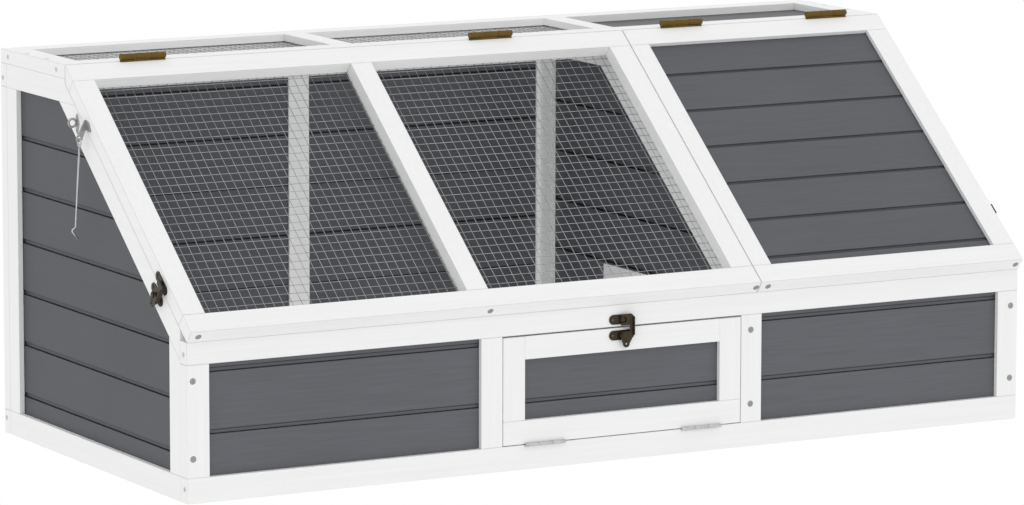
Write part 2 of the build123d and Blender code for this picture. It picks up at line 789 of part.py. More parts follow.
with BuildPart() as solid_lid_boards:
    low = LID_LENGTH - LID_RAIL + BOARD_FIT
    high = LID_RAIL - BOARD_FIT
    joints = []
    along = LID_FIRST_JOINT
    while along > high + LID_PITCH / 4:
        joints.append(low - along)
        along -= LID_PITCH
    from_x = LID_BAY_RIGHT[0][0] - BOARD_FIT
    start = slope_point(low, LID_RECESS)
    for face in board_faces(
        across(from_x), start, UPHILL, INTO_LID, joints, low - high, LID_RABBET_HEIGHT
    ):
        extrude(face, amount=LID_BAY_RIGHT[1][0] + BOARD_FIT - from_x)
write(solid_lid_boards, "solid_lid_boards")

# Door: hinged along its lower edge, with a frame and boards like the front wall's
DOOR_LEFT = LEFT + DOOR_POSTS[0] + STILE + DOOR_GAP_SIDE
DOOR_RIGHT = LEFT + DOOR_POSTS[1] - DOOR_GAP_SIDE
DOOR_LOW = BASE_RAIL + DOOR_GAP_BOTTOM
DOOR_HIGH = WALL_RAIL_LOW - DOOR_GAP_TOP
DOOR_BAY = corners_of(
    (DOOR_LEFT + DOOR_STILE, DOOR_LOW + DOOR_BOTTOM_RAIL), (DOOR_RIGHT - DOOR_STILE, DOOR_HIGH - DOOR_TOP_RAIL)
)

with BuildPart() as door_rails:
    for low, high, inset in (
        (DOOR_LOW, DOOR_LOW + DOOR_BOTTOM_RAIL, 0.0),
        (DOOR_HIGH - DOOR_TOP_RAIL, DOOR_HIGH, DOOR_STILE),
    ):
        extrude(
            rectangle(across(DOOR_LEFT + inset), (FRONT, low), (FRONT + TIMBER, high)),
            amount=DOOR_RIGHT - DOOR_LEFT - 2 * inset,
        )
    extrude(front_groove(DOOR_BAY), amount=-GROOVE_WIDTH, mode=Mode.SUBTRACT)
    for x in DOOR_HINGES:
        pocket = door_hinge_pocket(x, DOOR_LOW, DOOR_PIN_Z + DOOR_LEAF_FAR)
        extrude(pocket, amount=DOOR_POCKET_LENGTH, mode=Mode.SUBTRACT)
write(door_rails, "door_rails")

with BuildPart() as door_stiles:
    for x in (DOOR_LEFT, DOOR_RIGHT - DOOR_STILE):
        extrude(
            rectangle(level(DOOR_LOW + DOOR_BOTTOM_RAIL), (x, FRONT), (x + DOOR_STILE, FRONT + TIMBER)),
            amount=DOOR_HIGH - DOOR_LOW - DOOR_BOTTOM_RAIL,
        )
    extrude(front_groove(DOOR_BAY), amount=-GROOVE_WIDTH, mode=Mode.SUBTRACT)
write(door_stiles, "door_stiles")

with BuildPart() as door_boards:
    faces, length = front_boards(
        DOOR_BAY[0][1] - BOARD_FIT,
        DOOR_BAY[2][1] + BOARD_FIT,
        DOOR_BAY[0][0] - BOARD_FIT,
        DOOR_BAY[1][0] + BOARD_FIT,
    )
    for face in faces:
        extrude(face, amount=length)
write(door_boards, "door_boards")


# Hinges: the section plane has the pin at its origin, and the leaves hang from it towards local -y
def hinge_knuckle(plane, side, radius, spread, leaf, bore):
    """A knuckle and the strip that joins it to its leaf, on one side of the joint."""
    with BuildSketch(plane) as knuckle:
        Circle(radius)
        with Locations((side * (spread + leaf / 2), -(radius + KNUCKLE_CLEARANCE) / 2)):
            Rectangle(leaf, radius + KNUCKLE_CLEARANCE)
        if bore:
            Circle(bore, mode=Mode.SUBTRACT)
    return knuckle.sketch


def hinge_leaf(plane, side, radius, spread, leaf, reach):
    """A leaf's section below the knuckles."""
    near = side * spread
    far = side * (spread + leaf)
    return rectangle(plane, (min(near, far), -reach), (max(near, far), -(radius + KNUCKLE_CLEARANCE)))


LID_PIN = (JOINT, HEIGHT + HINGE_RISE)
DOOR_PIN = (FRONT - DOOR_HINGE_RADIUS - KNUCKLE_CLEARANCE, DOOR_PIN_Z)


def lid_hinge_plane(x):
    """Section plane at a lid hinge's left end: local x points back and local y up."""
    return Plane(origin=(LEFT + x - HINGE_LENGTH / 2, *LID_PIN), x_dir=(0, 1, 0), z_dir=(1, 0, 0))


def door_hinge_plane(x):
    """Section plane at a door hinge's left end: local x points up and local y to the front."""
    return Plane(
        origin=(LEFT + x - DOOR_HINGE_LENGTH / 2, *DOOR_PIN), x_dir=(0, 0, 1), z_dir=(1, 0, 0)
    )


def fixed_half(plane, side, length, radius, pin, spread, leaf, reach):
    """The half with the two outer knuckles, in one piece with the pin: (face, length) pairs."""
    third = length / 3 - KNUCKLE_GAP / 2
    return [
        (hinge_leaf(plane, side, radius, spread, leaf, reach), length),
        (hinge_knuckle(plane, side, radius, spread, leaf, 0), third),
        (hinge_knuckle(plane.offset(length - third), side, radius, spread, leaf, 0), third),
        (disc(plane.offset(third), 0, pin), length - 2 * third),
    ]


def moving_half(plane, side, length, radius, pin, spread, leaf, reach):
    """The half with the middle knuckle, which turns on the pin: (face, length) pairs."""
    start = length / 3 + KNUCKLE_GAP / 2
    knuckle = hinge_knuckle(plane.offset(start), side, radius, spread, leaf, pin + PIN_PLAY)
    return [
        (hinge_leaf(plane, side, radius, spread, leaf, reach), length),
        (knuckle, length - 2 * start),
    ]


def disc(plane, y, radius):
    """A round face, so far up the plane's middle line."""
    with BuildSketch(plane) as round_face:
        with Locations((0, y)):
            Circle(radius)
    return round_face.sketch


LID_HINGE_SIZES = (
    HINGE_LENGTH,
    HINGE_RADIUS,
    HINGE_PIN,
    LEAF_SPREAD,
    HINGE_LEAF,
    HINGE_LEAF_REACH + HINGE_RISE,
)
DOOR_HINGE_SIZES = (
    DOOR_HINGE_LENGTH,
    DOOR_HINGE_RADIUS,
    DOOR_HINGE_PIN,
    DOOR_LEAF_SPREAD,
    DOOR_HINGE_LEAF,
    DOOR_HINGE_LEAF_REACH + FRONT - DOOR_PIN[0],
)

with BuildPart() as lid_hinge_fixed_leaves:
    for x in (*LID_HINGES_ON_MESH, *LID_HINGES_ON_BOARDS):
        for face, length in fixed_half(lid_hinge_plane(x), 1, *LID_HINGE_SIZES):
            extrude(face, amount=length)
write(lid_hinge_fixed_leaves, "lid_hinge_fixed_leaves")

with BuildPart() as mesh_lid_hinge_leaves:
    for x in LID_HINGES_ON_MESH:
        for face, length in moving_half(lid_hinge_plane(x), -1, *LID_HINGE_SIZES):
            extrude(face, amount=length)
write(mesh_lid_hinge_leaves, "mesh_lid_hinge_leaves")

with BuildPart() as solid_lid_hinge_leaves:
    for x in LID_HINGES_ON_BOARDS:
        for face, length in moving_half(lid_hinge_plane(x), -1, *LID_HINGE_SIZES):
            extrude(face, amount=length)
write(solid_lid_hinge_leaves, "solid_lid_hinge_leaves")

with BuildPart() as door_hinge_fixed_leaves:
    for x in DOOR_HINGES:
        for face, length in fixed_half(door_hinge_plane(x), -1, *DOOR_HINGE_SIZES):
            extrude(face, amount=length)
write(door_hinge_fixed_leaves, "door_hinge_fixed_leaves")

with BuildPart() as door_hinge_leaves:
    for x in DOOR_HINGES:
        for face, length in moving_half(door_hinge_plane(x), 1, *DOOR_HINGE_SIZES):
            extrude(face, amount=length)
write(door_hinge_leaves, "door_hinge_leaves")

# Latches: local x runs along the plates, local y from the lower plate to the upper, and the normal outwards
SEAT_Y, SEAT_Z = slope_point(LATCH_SIDE_ALONG, LATCH_SIDE_BELOW)
FRONT_LATCH = Plane(
    origin=(LEFT + LATCH_X, FRONT, WALL_RAIL_LOW - DOOR_GAP_TOP / 2), x_dir=(1, 0, 0), z_dir=(0, -1, 0)
)
LEFT_LATCH = Plane(origin=(LEFT, SEAT_Y, SEAT_Z), x_dir=(0, -UPHILL[0], -UPHILL[1]), z_dir=(-1, 0, 0))
RIGHT_LATCH = Plane(origin=(RIGHT, SEAT_Y, SEAT_Z), x_dir=(0, UPHILL[0], UPHILL[1]), z_dir=(1, 0, 0))
LEVER_LOW = BOSS_TOP + LEVER_LIFT
LEVER_HIGH = LEVER_LOW + LEVER_THICK
PIVOT_Y = -PLATE_SPACING / 2
KEEPER_Y = PLATE_SPACING / 2


def plate_face(plane, y):
    """A stadium plate."""
    with BuildSketch(plane) as plate:
        with Locations((0, y)):
            SlotOverall(PLATE_LENGTH, PLATE_WIDTH)
    return plate.sketch


def keeper(plane):
    """The upper plate and the stub that the lever's fork closes over: (face, length) pairs."""
    return [(plate_face(plane, KEEPER_Y), PLATE_THICK), (disc(plane, KEEPER_Y, BOSS_RADIUS), BOSS_TOP)]


def pivot(plane):
    """The lower plate, its boss, and the rivet that holds the lever: (face, length) pairs."""
    head_low = LEVER_HIGH + LEVER_LIFT
    return [
        (plate_face(plane, PIVOT_Y), PLATE_THICK),
        (disc(plane, PIVOT_Y, BOSS_RADIUS), BOSS_TOP),
        (disc(plane, PIVOT_Y, RIVET_RADIUS), head_low),
        (disc(plane.offset(head_low), PIVOT_Y, RIVET_HEAD_RADIUS), RIVET_HEAD),
    ]


def lever_face(plane):
    """The lever: an eye on the pivot, a back that rises beside the plates, a fork and a thumb tab."""
    fork_low = KEEPER_Y - BOSS_RADIUS - FORK_PLAY - FORK_WALL
    fork_high = KEEPER_Y + BOSS_RADIUS + FORK_PLAY + FORK_WALL
    slot = 2 * (BOSS_RADIUS + FORK_PLAY)
    back_left = LEVER_BACK - LEVER_BACK_WIDTH
    tab_y = PIVOT_Y - TAB_DROP
    with BuildSketch(plane) as lever:
        with BuildLine():
            Polyline(
                (back_left, fork_low),
                (-FORK_TIP, fork_low),
                (-FORK_TIP, fork_high),
                (LEVER_BACK - FORK_WALL, fork_high),
                (LEVER_BACK, fork_high - FORK_WALL),
                (LEVER_BACK, PIVOT_Y),
                (TAB_X + TAB_RADIUS, tab_y),
                (TAB_X - TAB_RADIUS, tab_y),
                (-EYE_RADIUS, PIVOT_Y),
                (0, PIVOT_Y + EYE_RADIUS),
                (back_left, PIVOT_Y + EYE_RADIUS),
                close=True,
            )
        make_face()
        with Locations((0, PIVOT_Y)):
            Circle(EYE_RADIUS)
        with Locations((TAB_X, tab_y)):
            Circle(TAB_RADIUS)
            Circle(TAB_HOLE, mode=Mode.SUBTRACT)
        with Locations((0, PIVOT_Y)):
            Circle(RIVET_RADIUS + RIVET_PLAY, mode=Mode.SUBTRACT)
        with Locations((0, KEEPER_Y)):
            Circle(slot / 2, mode=Mode.SUBTRACT)
        with Locations((-FORK_TIP / 2, KEEPER_Y)):
            Rectangle(FORK_TIP, slot, mode=Mode.SUBTRACT)
    return lever.sketch


def lever_parts(plane):
    """The lever's plate and the flange bent out along its back: (face, length) pairs."""
    flange = rectangle(
        plane.offset(FLANGE_LOW),
        (LEVER_BACK - FLANGE_THICK, PIVOT_Y),
        (LEVER_BACK, KEEPER_Y + BOSS_RADIUS),
    )
    return [(lever_face(plane.offset(LEVER_LOW)), LEVER_THICK), (flange, FLANGE_TOP - FLANGE_LOW)]


with BuildPart() as frame_latch_plates:
    for face, length in [*keeper(FRONT_LATCH), *pivot(LEFT_LATCH), *pivot(RIGHT_LATCH)]:
        extrude(face, amount=length)
write(frame_latch_plates, "frame_latch_plates")

with BuildPart() as door_latch_plate:
    for face, length in pivot(FRONT_LATCH):
        extrude(face, amount=length)
write(door_latch_plate, "door_latch_plate")

with BuildPart() as front_latch_lever:
    for face, length in lever_parts(FRONT_LATCH):
        extrude(face, amount=length)
write(front_latch_lever, "front_latch_lever")

with BuildPart() as left_latch_lever:
    for face, length in lever_parts(LEFT_LATCH):
        extrude(face, amount=length)
write(left_latch_lever, "left_latch_lever")

with BuildPart() as right_latch_lever:
    for face, length in lever_parts(RIGHT_LATCH):
        extrude(face, amount=length)
write(right_latch_lever, "right_latch_lever")

# Stays on the left side, mirrored to the right
BRACKET_Y, BRACKET_Z = slope_point(BRACKET_ALONG, BRACKET_BELOW)
RING_PLATE = Plane(origin=(LEFT, FRONT + RING_PLATE_Y, RING_PLATE_Z), x_dir=(0, 0, 1), z_dir=(-1, 0, 0))
BRACKET_PLATE = Plane(
    origin=(LEFT, BRACKET_Y, BRACKET_Z), x_dir=(0, -UPHILL[0], -UPHILL[1]), z_dir=(-1, 0, 0)
)
RING_X = LEFT - RING_OUT
RING_Z = RING_PLATE_Z + RING_RISE
HOOK_PLANE_Y = FRONT + HOOK_Y
HOLE_Z = HOOK_Z + HOOK_EYE - HOOK_WIRE - STAY_SEAT + LUG_HOLE


def lozenge(plane):
    """A small base plate with pointed ends, its corners rounded."""
    with BuildSketch(plane) as plate:
        with BuildLine():
            Polyline(
                (-LOZENGE_LENGTH / 2, 0),
                (0, -LOZENGE_WIDTH / 2),
                (LOZENGE_LENGTH / 2, 0),
                (0, LOZENGE_WIDTH / 2),
                close=True,
            )
        make_face()
        fillet(plate.vertices(), radius=LOZENGE_CORNER)
    return plate.sketch


with BuildPart() as stay_eye_plates:
    extrude(lozenge(RING_PLATE), amount=LOZENGE_THICK)
    with BuildSketch(level(RING_Z)):
        with Locations((RING_X - RING_RADIUS, FRONT + RING_PLATE_Y)):
            RegularPolygon(RING_WIRE, WIRE_SIDES)
    revolve(axis=Axis((RING_X, FRONT + RING_PLATE_Y, RING_Z), (0, 1, 0)), revolution_arc=360)
    mirror(about=Plane.YZ)
write(stay_eye_plates, "stay_eye_plates")

with BuildPart() as mesh_lid_edge_fittings:
    for face, length in keeper(LEFT_LATCH):
        extrude(face, amount=length)
    extrude(lozenge(BRACKET_PLATE), amount=LOZENGE_THICK)
    with BuildSketch(facing(HOOK_PLANE_Y - LUG_THICK / 2)):
        with BuildLine():
            Polyline(
                (LEFT, BRACKET_Z + LUG_ROOT[0]),
                (LEFT, BRACKET_Z + LUG_ROOT[1]),
                (LEFT - 2 * LOZENGE_THICK, BRACKET_Z + LUG_ROOT[1]),
                (LEFT - HOOK_OUT - LUG_RADIUS, HOLE_Z),
                (LEFT - HOOK_OUT + LUG_RADIUS, HOLE_Z),
                close=True,
            )
        make_face()
        with Locations((LEFT - HOOK_OUT, HOLE_Z)):
            Circle(LUG_RADIUS)
            Circle(LUG_HOLE, mode=Mode.SUBTRACT)
    extrude(amount=-LUG_THICK)
write(mesh_lid_edge_fittings, "mesh_lid_edge_fittings")

with BuildPart() as solid_lid_edge_fittings:
    mirror(mesh_lid_edge_fittings.part, about=Plane.YZ)
write(solid_lid_edge_fittings, "solid_lid_edge_fittings")

HOOK_X = LEFT - HOOK_OUT
SHANK_TOP = HOOK_Z - HOOK_EYE

with BuildPart() as left_stay_hook:
    with BuildSketch(Plane.XY.offset(HOOK_Z)):
        with Locations((HOOK_X, HOOK_PLANE_Y + HOOK_EYE)):
            RegularPolygon(HOOK_WIRE, WIRE_SIDES)
    revolve(axis=Axis((HOOK_X, HOOK_PLANE_Y, HOOK_Z), (1, 0, 0)), revolution_arc=360)
    with BuildLine() as wire:
        FilletPolyline(
            (HOOK_X, HOOK_PLANE_Y, SHANK_TOP),
            (HOOK_X - SHANK_LEAN, HOOK_PLANE_Y, SHANK_TOP - SHANK),
            (HOOK_X - SHANK_LEAN - JOG_OUT, HOOK_PLANE_Y, SHANK_TOP - SHANK - JOG_DROP),
            (
                HOOK_X - SHANK_LEAN - JOG_OUT + TIP_IN,
                HOOK_PLANE_Y,
                SHANK_TOP - SHANK - JOG_DROP - TIP_DROP,
            ),
            radius=HOOK_BEND,
        )
    with BuildSketch(Plane(origin=wire.line @ 0, x_dir=(0, 1, 0), z_dir=wire.line % 0)):
        RegularPolygon(HOOK_WIRE, WIRE_SIDES)
    sweep(path=wire.line)
write(left_stay_hook, "left_stay_hook")

with BuildPart() as right_stay_hook:
    mirror(left_stay_hook.part, about=Plane.YZ)
write(right_stay_hook, "right_stay_hook")
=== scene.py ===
import random
from math import asin, atan2, cos, hypot, pi, radians, sin

import bmesh
import bpy
from mathutils import Matrix, Vector


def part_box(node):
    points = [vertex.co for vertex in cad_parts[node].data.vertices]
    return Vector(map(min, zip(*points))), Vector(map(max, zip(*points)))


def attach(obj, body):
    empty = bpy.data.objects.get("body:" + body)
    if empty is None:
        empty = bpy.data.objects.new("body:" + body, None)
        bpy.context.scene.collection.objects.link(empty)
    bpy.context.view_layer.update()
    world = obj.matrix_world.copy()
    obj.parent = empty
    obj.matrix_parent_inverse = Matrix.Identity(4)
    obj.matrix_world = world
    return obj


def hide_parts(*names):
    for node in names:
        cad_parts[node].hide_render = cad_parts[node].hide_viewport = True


# Looks of the tortoise enclosure: paint and grain, welded mesh, screws, and round wire on the stays.
# Metres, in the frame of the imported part: X along the front, Y to the back, Z up.

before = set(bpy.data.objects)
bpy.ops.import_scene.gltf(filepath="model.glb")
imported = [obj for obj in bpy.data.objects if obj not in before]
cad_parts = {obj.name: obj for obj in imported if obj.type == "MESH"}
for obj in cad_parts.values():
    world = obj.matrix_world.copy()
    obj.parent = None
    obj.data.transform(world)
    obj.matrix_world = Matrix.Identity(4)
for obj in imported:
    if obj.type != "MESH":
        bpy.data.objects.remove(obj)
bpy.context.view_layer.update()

# Places read from the frame
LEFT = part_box("front_base_rail")[0].x
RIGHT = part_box("front_base_rail")[1].x
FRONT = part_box("front_base_rail")[0].y
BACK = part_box("back_rails")[1].y
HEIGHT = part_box("roof_rails")[1].z
WALL_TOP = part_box("front_top_rail")[1].z
WALL_RAIL_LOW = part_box("front_top_rail")[0].z
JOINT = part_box("roof_rails")[0].y - 0.0005
ROOF_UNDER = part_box("roof_rails")[0].z

# Sizes that go with the solids
TIMBER = 0.018
LID_THICK = 0.019
LID_REST = 0.0004
LID_RAIL = 0.029
LID_NOSE = 0.001
NET_REACH = 0.0039

RUN = JOINT - FRONT
RISE = HEIGHT - WALL_TOP
SLOPE = atan2(RISE, RUN) - asin((LID_THICK + LID_REST) / hypot(RUN, RISE))
LID_LENGTH = (RUN + LID_NOSE + LID_THICK * sin(SLOPE)) / cos(SLOPE)
UPHILL = Vector((0, cos(SLOPE), sin(SLOPE)))
LID_UP = Vector((0, -sin(SLOPE), cos(SLOPE)))

# Welded mesh
WIRE_RADIUS = 0.0004
PITCH_ACROSS = 0.01257
PITCH_ALONG = 0.01285
FIRST_WIRE = 0.005
LID_WIRE_BELOW = 0.01715
ROOF_WIRE_BELOW = 0.01015
WIRE_WANDER = 0.00022
WELD_DEPTH = 0.85
NET_THIRDS = (0.33, 0.66)

# Screws
SCREW_RADIUS = 0.0036
END_SCREW_RADIUS = 0.003
PLATE_SCREW_RADIUS = 0.0021

# Latches, as on the solids
LATCH_X = LEFT + 0.604
LATCH_ALONG = 0.3635
LATCH_BELOW = 0.0225
PLATE_OFFSET = 0.01
PLATE_THICK = 0.0012
PLATE_SCREW_SPACING = 0.027

# Stays, as on the solids
RING_PLATE_Y = FRONT + 0.307
RING_PLATE_Z = 0.428
RING_RISE = 0.0015
RING_RADIUS = 0.005
RING_WIRE = 0.0015
RING_OUT = 0.0073
BRACKET_ALONG = 0.096
BRACKET_BELOW = 0.012
LOZENGE_LENGTH = 0.028
LOZENGE_WIDTH = 0.011
LOZENGE_CORNER = 0.0026
LOZENGE_THICK = 0.0015
LOZENGE_SCREWS = 0.0175
BRACKET_LOW = 0.38
HOOK_Y = FRONT + 0.281
HOOK_Z = 0.408
HOOK_OUT = 0.010
HOOK_WIRE = 0.0012
HOOK_EYE = 0.0045
SHANK = 0.101
SHANK_LEAN = 0.006
JOG_OUT = 0.0055
JOG_DROP = 0.004
TIP_IN = 0.0085
TIP_DROP = 0.011
HOOK_BEND = 0.0024

# Colours, linear
WHITE = (0.86, 0.865, 0.86)
# One grey paint on all the boards, set lighter or darker for each face as it looks lit there: painted
# light and shade
FRONT_GREY_AS_LIT = (0.114, 0.118, 0.131)
LID_GREY_AS_LIT = (0.097, 0.100, 0.111)
SIDE_GREY_AS_LIT = (0.076, 0.080, 0.089)
INNER_GREY_AS_LIT = (0.089, 0.093, 0.103)
ZINC = (0.62, 0.62, 0.62)
STEEL = (0.42, 0.42, 0.42)
GALVANISED = (0.46, 0.46, 0.47)
BRONZE = (0.158, 0.095, 0.0155)
DARK_BRONZE = (0.055, 0.042, 0.027)
SCREW = (0.40, 0.40, 0.40)
PALE_SCREW = (0.80, 0.80, 0.79)
# Painted shade for screw crosses and for the ring round pale screw heads
PALE_SHADOW = (0.25, 0.25, 0.25)
# A darker white on the rounded edges of the white frame: painted shade that outlines edges and joints
EDGE_SHADE_WHITE = (0.74, 0.745, 0.74)
# Painted shadow in the ring round the other screw heads
SHADOW = (0.05, 0.05, 0.05)


# Painted wood: noise for the grain, a slower noise for patches, bump and shine
GRAIN_SCALE = 9.0
GRAIN_DETAIL = 9.0
GRAIN_ROUGHNESS = 0.62
GRAIN_WARP = 0.4
GRAIN_RAMP = (0.32, 0.68)
PATCH_SCALE = 7.0
PATCH_DETAIL = 3.0
PATCH_RAMP = (0.3, 0.7)
LIGHTEST_PAINT = 0.93
PAINT_BUMP = 0.35
PAINT_BUMP_DEPTH = 0.0004
PAINT_SHINE = (-0.06, 0.10)
PAINT_SPECULAR = 0.35
GREY_GRAIN = 0.13
GREY_ROUGH = 0.5
BAND_EDGE = (0.8, 1.2)

# Metal
METAL_RAMP = (0.3, 0.7)
METAL_DETAIL = 6.0
METAL_BUMP = 0.2
METAL_BUMP_DEPTH = 0.0001
METAL_SHINE = (-0.1, 0.12)
SMALL_PATCHES = 400.0


def slope_point(x, along, below):
    """A point so far down the slope from the roof joint, and so far below the lids' top."""
    return Vector((x, JOINT, HEIGHT)) - UPHILL * along - LID_UP * below


# Materials


def new_material(name):
    """An empty node material with its principled shader."""
    material = bpy.data.materials.new(name)
    material.use_nodes = True
    nodes = material.node_tree.nodes
    return material, nodes, material.node_tree.links, nodes["Principled BSDF"]


def ramp(nodes, low, high, first, last):
    """A colour ramp between two positions and colours."""
    node = nodes.new("ShaderNodeValToRGB")
    node.color_ramp.elements[0].position = low
    node.color_ramp.elements[0].color = (*first, 1)
    node.color_ramp.elements[1].position = high
    node.color_ramp.elements[1].color = (*last, 1)
    return node


def times(nodes, links, first, second):
    """The product of two colours."""
    mix = nodes.new("ShaderNodeMix")
    mix.data_type = "RGBA"
    mix.blend_type = "MULTIPLY"
    mix.inputs["Factor"].default_value = 1.0
    links.new(first, mix.inputs["A"])
    links.new(second, mix.inputs["B"])
    return mix.outputs["Result"]


def painted_joint_shade(nodes, links, place, lines):
    """Painted shade in the joints between boards: dark bands across a direction at an even pitch.

    lines gives the direction, the first band's place, the pitch, a band's width and its shade.
    """
    direction, first, pitch, width, shade = lines
    along = nodes.new("ShaderNodeVectorMath")
    along.operation = "DOT_PRODUCT"
    along.inputs[1].default_value = direction
    shift = nodes.new("ShaderNodeMath")
    shift.operation = "SUBTRACT"
    shift.inputs[1].default_value = first
    wrap = nodes.new("ShaderNodeMath")
    wrap.operation = "FLOORED_MODULO"
    wrap.inputs[1].default_value = pitch
    band = nodes.new("ShaderNodeMapRange")
    band.interpolation_type = "SMOOTHSTEP"
    band.inputs["From Min"].default_value = width * BAND_EDGE[0]
    band.inputs["From Max"].default_value = width * BAND_EDGE[1]
    band.inputs["To Min"].default_value = shade
    band.inputs["To Max"].default_value = 1.0
    links.new(place, along.inputs[0])
    links.new(along.outputs["Value"], shift.inputs[0])
    links.new(shift.outputs["Value"], wrap.inputs[0])
    links.new(wrap.outputs["Value"], band.inputs["Value"])
    return band.outputs["Result"]


def painted_wood(name, colour, stretch, turn=0.0, grain=0.025, rough=0.46, lines=()):
    """Painted timber: stretch is the grain's scale on each axis, turn tilts it about X.

    lines are sets of painted joint shade.
    """
    material, nodes, links, shader = new_material(name)
    place = nodes.new("ShaderNodeTexCoord")
    mapping = nodes.new("ShaderNodeMapping")
    mapping.inputs["Rotation"].default_value = (turn, 0, 0)
    mapping.inputs["Scale"].default_value = stretch
    fine = nodes.new("ShaderNodeTexNoise")
    fine.inputs["Scale"].default_value = GRAIN_SCALE
    fine.inputs["Detail"].default_value = GRAIN_DETAIL
    fine.inputs["Roughness"].default_value = GRAIN_ROUGHNESS
    fine.inputs["Distortion"].default_value = GRAIN_WARP
    cloud = nodes.new("ShaderNodeTexNoise")
    cloud.inputs["Scale"].default_value = PATCH_SCALE
    cloud.inputs["Detail"].default_value = PATCH_DETAIL
    dark = tuple(c * (1 - grain) for c in colour)
    light = tuple(min(c * (1 + grain / 2), LIGHTEST_PAINT) for c in colour)
    tint = ramp(nodes, *GRAIN_RAMP, dark, light)
    patch = ramp(nodes, *PATCH_RAMP, (1 - grain / 2,) * 3, (1, 1, 1))
    bump = nodes.new("ShaderNodeBump")
    bump.inputs["Strength"].default_value = PAINT_BUMP
    bump.inputs["Distance"].default_value = PAINT_BUMP_DEPTH
    shine = nodes.new("ShaderNodeMapRange")
    shine.inputs["To Min"].default_value = rough + PAINT_SHINE[0]
    shine.inputs["To Max"].default_value = rough + PAINT_SHINE[1]
    links.new(place.outputs["Object"], mapping.inputs["Vector"])
    links.new(mapping.outputs["Vector"], fine.inputs["Vector"])
    links.new(place.outputs["Object"], cloud.inputs["Vector"])
    links.new(fine.outputs["Fac"], tint.inputs["Fac"])
    links.new(cloud.outputs["Fac"], patch.inputs["Fac"])
    shown = times(nodes, links, tint.outputs["Color"], patch.outputs["Color"])
    # Painted shade in the board joints darkens the colour
    for entry in lines:
        shade = painted_joint_shade(nodes, links, place.outputs["Object"], entry)
        shown = times(nodes, links, shown, shade)
    links.new(shown, shader.inputs["Base Color"])
    links.new(fine.outputs["Fac"], bump.inputs["Height"])
    links.new(bump.outputs["Normal"], shader.inputs["Normal"])
    links.new(fine.outputs["Fac"], shine.inputs["Value"])
    links.new(shine.outputs["Result"], shader.inputs["Roughness"])
    shader.inputs["Specular IOR Level"].default_value = PAINT_SPECULAR
    return material


def metal(name, colour, metallic, rough, worn=0.25, scale=180.0):
    """Metal whose colour and polish vary in small patches."""
    material, nodes, links, shader = new_material(name)
    place = nodes.new("ShaderNodeTexCoord")
    noise = nodes.new("ShaderNodeTexNoise")
    noise.inputs["Scale"].default_value = scale
    noise.inputs["Detail"].default_value = METAL_DETAIL
    tint = ramp(nodes, *METAL_RAMP, tuple(c * (1 - worn) for c in colour), colour)
    shine = nodes.new("ShaderNodeMapRange")
    shine.inputs["To Min"].default_value = rough + METAL_SHINE[0]
    shine.inputs["To Max"].default_value = rough + METAL_SHINE[1]
    bump = nodes.new("ShaderNodeBump")
    bump.inputs["Strength"].default_value = METAL_BUMP
    bump.inputs["Distance"].default_value = METAL_BUMP_DEPTH
    links.new(place.outputs["Object"], noise.inputs["Vector"])
    links.new(noise.outputs["Fac"], tint.inputs["Fac"])
    links.new(tint.outputs["Color"], shader.inputs["Base Color"])
    links.new(noise.outputs["Fac"], shine.inputs["Value"])
    links.new(shine.outputs["Result"], shader.inputs["Roughness"])
    links.new(noise.outputs["Fac"], bump.inputs["Height"])
    links.new(bump.outputs["Normal"], shader.inputs["Normal"])
    shader.inputs["Metallic"].default_value = metallic
    return material


LONG = 0.55
CROSS = 22.0
FINER = 2.2
GRAINS = {
    "x": ((LONG, CROSS, CROSS), 0.0),
    "y": ((CROSS, LONG, CROSS), 0.0),
    "z": ((CROSS, CROSS, LONG), 0.0),
    "slope": ((CROSS, LONG, CROSS), -SLOPE),
}
white = {way: painted_wood(f"white_{way}", WHITE, *grain) for way, grain in GRAINS.items()}

# Painted shade in the board joints: direction, first place, pitch, width and shade
FRONT_JOINT_SHADE = (
    ((0, 0, 1), 0.0814, 0.0763, 0.0013, 0.8),
    ((0, 0, 1), 0.0862, 0.0763, 0.0013, 0.42),
)
SIDE_JOINT_SHADE = (
    ((0, 0, 1), 0.0530, 0.0663, 0.0013, 0.8),
    ((0, 0, 1), 0.0578, 0.0663, 0.0013, 0.42),
)
PARTITION_JOINT_SHADE = (((0, 0, 1), 0.0558, 0.0664, 0.0020, 0.06),)
INNER_JOINT_SHADE = (((0, 0, 1), 0.0289, 0.0665, 0.0025, 0.04),)
LID_JOINT_SHADE = ((tuple(UPHILL), UPHILL.dot(slope_point(0, 0.4135, 0)), 0.06575, 0.0032, 0.42),)


def grey_wood(name, colour, way, lines):
    """Grey paint on boards that run one way, with a finer and shorter grain than the frame's."""
    stretch, turn = GRAINS[way]
    fine = tuple(scale * FINER for scale in stretch)
    return painted_wood(name, colour, fine, turn, grain=GREY_GRAIN, rough=GREY_ROUGH, lines=lines)


PARTITION_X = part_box("partition_boards")[1].x
INWARD = 0.5
